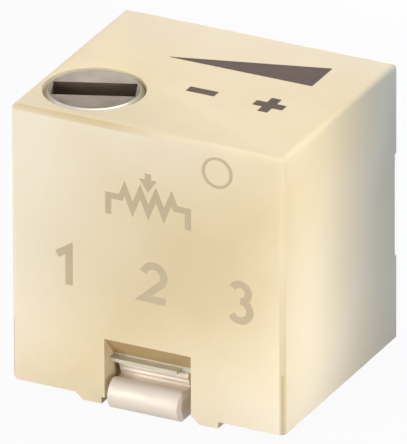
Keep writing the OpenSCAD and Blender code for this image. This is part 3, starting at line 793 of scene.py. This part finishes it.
def lead(name, x, width, tab_w, front):
    """A hooked lead with its fold under the base plate and its run to the ceramic element."""
    # Points of the section are (way in from the face, height)
    inner = LEAD_T / 2 + (TAB_Y - FRONT_Y if front else BACK_Y - TAB_Y)
    run_top, run_low = RUN_Z + LEAD_T / 2, RUN_Z - LEAD_T / 2
    run_len = FOLD_LOW[0] - HOOK_Y
    hook = [(HOOK_Y + HOOK_FOOT, 0), *arc((HOOK_Y, HOOK_R), HOOK_R, 270, 90, HOOK_STEPS),
            *((HOOK_Y + share * run_len, run_top - depth) for share, depth in RUN_SAG),
            (FOLD_LOW[0], run_top), (FOLD_LOW[0], run_low),
            *arc((HOOK_Y, HOOK_R), HOOK_R - LEAD_T, 90, 270, INNER_HOOK_STEPS), (HOOK_Y + HOOK_FOOT, LEAD_T)]
    rise = BASE_Z - run_top
    crease = (BASE_Z + run_top) / 2
    beads = [circle((at, crease + share * rise), rise / 4, BEAD_STEPS) for at, share in FOLD_BEADS]
    tuck_low, tuck_high = TUCK_Z - LEAD_T / 2, TUCK_Z + LEAD_T / 2
    tuck = [(FOLD_TOP[0], tuck_low), (inner, tuck_low), (inner, tuck_high), (FOLD_TOP[0], tuck_high)]
    others = [*beads, strap_outline(FOLD_LOW, FOLD_OUT), strap_outline(FOLD_OUT, FOLD_TOP), tuck]
    obj = join(prism(hook, width), *(prism(outline, width) for outline in others))
    moved(obj, into_face(x, width, front))
    join(obj, block((x - tab_w / 2, TAB_Y - LEAD_T / 2, TUCK_Z),
                    (x + tab_w / 2, TAB_Y + LEAD_T / 2, BASE_TOP + TAB_H)))
    soften(obj, LEAD_EDGE_R, segments=2, angle=50)
    return finished(obj, name + "_formed", LEAD_METAL, CASE, (name,))


# Marks


def ring_mark():
    """The plain ring on the front face."""
    profile = [(RING_HOLE_R, -RING_SUNK), (RING_HOLE_R, RING_PROUD), (RING_R, RING_PROUD),
               (RING_R, -RING_SUNK), (RING_HOLE_R, -RING_SUNK)]
    obj = lathe(profile, "ring")
    # The profile ends where it starts, and its two ends are merged
    bm = bmesh.new()
    bm.from_mesh(obj.data)
    bmesh.ops.remove_doubles(bm, verts=bm.verts[:], dist=SAME_PLACE)
    bm.to_mesh(obj.data)
    bm.free()
    place = Matrix.Translation((RING_X, FRONT_Y, TOP_Z - RING_DROP))
    moved(obj, place @ Matrix.Rotation(math.pi / 2, 4, "X"))
    return finished(obj, "front_ring", TAN_INK, CASE)


def stroke(points, width):
    """A flat line of even width along a row of points, with mitred bends."""
    pts = [Vector(p) for p in points]
    left, right = [], []
    for k, point in enumerate(pts):
        before = (point - pts[k - 1]).normalized() if k else None
        after = (pts[k + 1] - point).normalized() if k + 1 < len(pts) else None
        way = (before or after) if before is None or after is None else (before + after).normalized()
        side = Vector((-way.y, way.x))
        flat = Vector((-(before or after).y, (before or after).x))
        reach = width / 2 / max(side.dot(flat), MITRE_SHARE)
        left.append(tuple(point + reach * side))
        right.append(tuple(point - reach * side))
    return left + right[::-1]


def ink(name, outlines, place, material):
    """Printed lines, a hair proud of the face that carries them."""
    obj = join(*(prism(outline, INK_SUNK + INK_PROUD, name, triangles=True) for outline in outlines))
    sunk = place @ Matrix.Translation((0, 0, -INK_SUNK))
    return finished(moved(obj, sunk), name, material, CASE)


def printed_marks():
    """A wiring diagram and the leads' numbers on the front, and a wedge from less to more on the top."""
    front = Matrix.Translation((0, FRONT_Y, 0)) @ Matrix.Rotation(math.pi / 2, 4, "X")
    # The diagram is a zigzag between two ends, with an arrow on its middle. Points are (x, height)
    low, middle, high = 2.63, 2.88, 3.27
    tooth_w, tooth_h, teeth = 0.106, 0.13, 7
    zigzag = [(-0.52, low), (-0.52, middle), (-0.35, middle)]
    zigzag += [(-0.35 + tooth_w * (k + 0.5), middle + (-tooth_h if k % 2 else tooth_h)) for k in range(teeth)]
    zigzag += [(0.39, middle), (0.56, middle), (0.56, low)]
    pointer = [(0.02, high), (0.02, middle + 0.29)]
    head = [(0.02, middle + 0.14), (0.14, middle + 0.31), (-0.1, middle + 0.31)]
    ink("front_diagram", [stroke(zigzag, DIAGRAM_LINE), stroke(pointer, DIAGRAM_LINE), head], front, TAN_INK)

    # Numbers of the three leads, drawn with straight lines and arcs
    one = [(-1.22, 1.95), (-1.06, 2.05), (-1.06, 1.56)]
    two = [*arc((0.09, 1.91), 0.14, 165, -38, NUMBER_STEPS), (-0.06, 1.595), (0.25, 1.595)]
    three_high = arc((1.26, 1.935), 0.115, 150, -82, NUMBER_STEPS)
    three_low = arc((1.26, 1.695), 0.135, 88, -150, NUMBER_STEPS)
    for name, lines in (("number_1", [one]), ("number_2", [two]), ("number_3", [three_high, three_low])):
        ink(name, [stroke(line, NUMBER_LINE) for line in lines], front, TAN_INK)

    # Signs for the sense of turning. Points are (x, y)
    top = Matrix.Translation((0, 0, TOP_Z))
    ink("turn_wedge", [[(-0.72, 0.5), (1.22, 0.5), (1.22, 1.06)]], top, DARK_INK)
    minus = [(-0.1, -0.22), (0.28, -0.22)]
    plus_across, plus_upright = [(0.8, -0.22), (1.2, -0.22)], [(1.0, -0.42), (1.0, -0.02)]
    for name, lines in (("turn_minus", [minus]), ("turn_plus", [plus_across, plus_upright])):
        ink(name, [stroke(line, SIGN_LINE) for line in lines], top, DARK_INK)


# Camera and light

# The photograph's angles in degrees, its scale, the camera's distance, and how far the housing's middle
# lies to the right of the picture's middle and above it
PHOTO_AZIMUTH, PHOTO_ELEVATION, PHOTO_ROLL = 26.60, 25.28, -0.24
PIXELS_PER_MM = 82.04
CAMERA_DISTANCE = 235.5
OFF_RIGHT, OFF_UP = 0.010, 0.017
PICTURE_H = 444
SENSOR_W = 36
# Nearest and furthest distance that the camera sees, in metres
CLIP_NEAR, CLIP_FAR = 0.01, 10
# Colour of the background and of the floor's glow, and of the lamp on the far part of the right side
WHITE = (1, 1, 1, 1)
SHADE_BLUE = (0.02, 0.5, 1.0)
# What the background gives as light, where the camera sees it white
WORLD_LIGHT = 0.16
# The floor's half width, its place, how pale it is, and how much of it glows towards the camera
FLOOR_REACH = 60
FLOOR_Z = -0.002
FLOOR_TONE = 0.5
FLOOR_ROUGHNESS = 0.9
FLOOR_GLOW = 0.95


def photo_camera():
    """Camera at the photograph's angle, worked out from the housing's corners."""
    azimuth, elevation, roll = (math.radians(a) for a in (PHOTO_AZIMUTH, PHOTO_ELEVATION, PHOTO_ROLL))
    back = Vector((math.sin(azimuth) * math.cos(elevation), -math.cos(azimuth) * math.cos(elevation),
                   math.sin(elevation)))
    right = Vector((math.cos(azimuth), math.sin(azimuth), 0))
    up = back.cross(right)
    right, up = (math.cos(roll) * right + math.sin(roll) * up, math.cos(roll) * up - math.sin(roll) * right)
    target = Vector((0, 0, UNDER_Z + BODY_H / 2)) - OFF_RIGHT * right - OFF_UP * up
    data = bpy.data.cameras.new("photo_camera")
    data.sensor_width = SENSOR_W
    data.lens = PIXELS_PER_MM * CAMERA_DISTANCE * SENSOR_W / PICTURE_H
    data.clip_start = CLIP_NEAR
    data.clip_end = CLIP_FAR
    camera = bpy.data.objects.new("photo_camera", data)
    turn = Matrix((right, up, back)).transposed().to_4x4()
    camera.matrix_world = Matrix.Translation((target + CAMERA_DISTANCE * back) * MM) @ turn
    bpy.context.scene.collection.objects.link(camera)
    bpy.context.scene.camera = camera


def softbox(name, place, target, size, power, colour=(1, 1, 1), spread=180):
    """A rectangular lamp with its place, target and size in millimetres, and its beam's spread in degrees."""
    data = bpy.data.lights.new(name, "AREA")
    data.shape = "RECTANGLE"
    data.size = size[0] * MM
    data.size_y = size[1] * MM
    data.energy = power
    data.color = colour
    data.spread = math.radians(spread)
    lamp = bpy.data.objects.new(name, data)
    aim = (Vector(place) - Vector(target)).to_track_quat("Z", "Y").to_matrix().to_4x4()
    lamp.matrix_world = Matrix.Translation(Vector(place) * MM) @ aim
    lamp.visible_camera = False
    bpy.context.scene.collection.objects.link(lamp)


def seen_directly(tree):
    """1 for a ray from the camera or by way of a mirror or glass, and 0 for light that falls on something."""
    path = tree.nodes.new("ShaderNodeLightPath")
    share = path.outputs["Is Camera Ray"]
    for kind in ("Is Glossy Ray", "Is Transmission Ray"):
        either = tree.nodes.new("ShaderNodeMath")
        either.operation = "MAXIMUM"
        tree.links.new(share, either.inputs[0])
        tree.links.new(path.outputs[kind], either.inputs[1])
        share = either.outputs["Value"]
    return share


def world():
    """White background, with a plain grey level for the light it sends."""
    scene_world = bpy.data.worlds.new("studio")
    bpy.context.scene.world = scene_world
    scene_world.use_nodes = True
    tree = scene_world.node_tree
    background = tree.nodes["Background"]
    level = tree.nodes.new("ShaderNodeMapRange")
    level.inputs["To Min"].default_value = WORLD_LIGHT
    tree.links.new(seen_directly(tree), level.inputs["Value"])
    tree.links.new(level.outputs["Result"], background.inputs["Strength"])
    background.inputs["Color"].default_value = WHITE


def floor():
    """A pale floor that is white to the camera and keeps a faint shadow."""
    bm = bmesh.new()
    bmesh.ops.create_grid(bm, x_segments=1, y_segments=1, size=FLOOR_REACH)
    obj = piece_from(bm, "floor")
    moved(obj, Matrix.Translation((0, 0, FLOOR_Z * MM)) @ Matrix.Scale(MM, 4))
    material = bpy.data.materials.new("floor_paper")
    material.use_nodes = True
    tree = material.node_tree
    shader = tree.nodes["Principled BSDF"]
    shader.inputs["Base Color"].default_value = (FLOOR_TONE, FLOOR_TONE, FLOOR_TONE, 1)
    shader.inputs["Roughness"].default_value = FLOOR_ROUGHNESS
    glow = tree.nodes.new("ShaderNodeEmission")
    glow.inputs["Color"].default_value = WHITE
    level = tree.nodes.new("ShaderNodeMath")
    level.operation = "MULTIPLY"
    level.inputs[1].default_value = FLOOR_GLOW
    tree.links.new(seen_directly(tree), level.inputs[0])
    mix = tree.nodes.new("ShaderNodeMixShader")
    tree.links.new(level.outputs[0], mix.inputs["Fac"])
    tree.links.new(shader.outputs["BSDF"], mix.inputs[1])
    tree.links.new(glow.outputs["Emission"], mix.inputs[2])
    tree.links.new(mix.outputs["Shader"], tree.nodes["Material Output"].inputs["Surface"])
    obj.data.materials.append(material)


def paint_node(node, material):
    """Gives a CAD node that stays its material."""
    obj = frame["nodes"][node]
    obj.data.materials.clear()
    obj.data.materials.append(material)


photo_camera()
world()
floor()
# Wide light comes from the front left, above and behind. The side, low and cool lamps are narrow beams on the
# near part of the right side, low on the front, and bluish along the far part of the right side
softbox("key", (-9.5, -14.5, 4.5), (0, 0, 1.8), (12, 12), 0.0021)
softbox("side", (8, -4.2, 2.4), (1.85, -0.95, 2), (1.5, 7), 0.000043, spread=30)
softbox("low", (0.5, -10, 0.8), (0.3, -1.6, 0.6), (8, 1.4), 0.000005, spread=16)
softbox("top", (1, 2, 16), (0, 0, 3), (10, 10), 0.0013)
softbox("cool", (5, 5, 2), (1.85, 2.2, 2), (2, 6), 0.000009, SHADE_BLUE, 40)
softbox("back", (-1, 14, 1.8), (0, 0, 2), (9, 3.4), 0.0007)

housing()
adjusting_screw()
lead("terminal_1", -BACK_LEAD_X, BACK_LEAD_W, BACK_LEAD_W, False)
lead("terminal_2", LEAD_X, LEAD_W, LEAD_W / 2, True)
lead("terminal_3", BACK_LEAD_X, BACK_LEAD_W, BACK_LEAD_W, False)
ring_mark()
printed_marks()

for node, material in (
    ("base_plate", PLATE_PLASTIC), ("sealant", SEAL_RESIN), ("sealing_ring", RUBBER),
    ("retaining_clip", CLIP_METAL), ("rotor", ROTOR_PLASTIC), ("wiper_spring", SPRING_METAL),
    ("element_substrate", CERAMIC), ("resistive_track", TRACK_FILM), ("printed_conductors", SILVER_FILM),
    ("lead_joints", CEMENT),
):
    paint_node(node, material)

bpy.context.scene.view_settings.view_transform = "Standard"
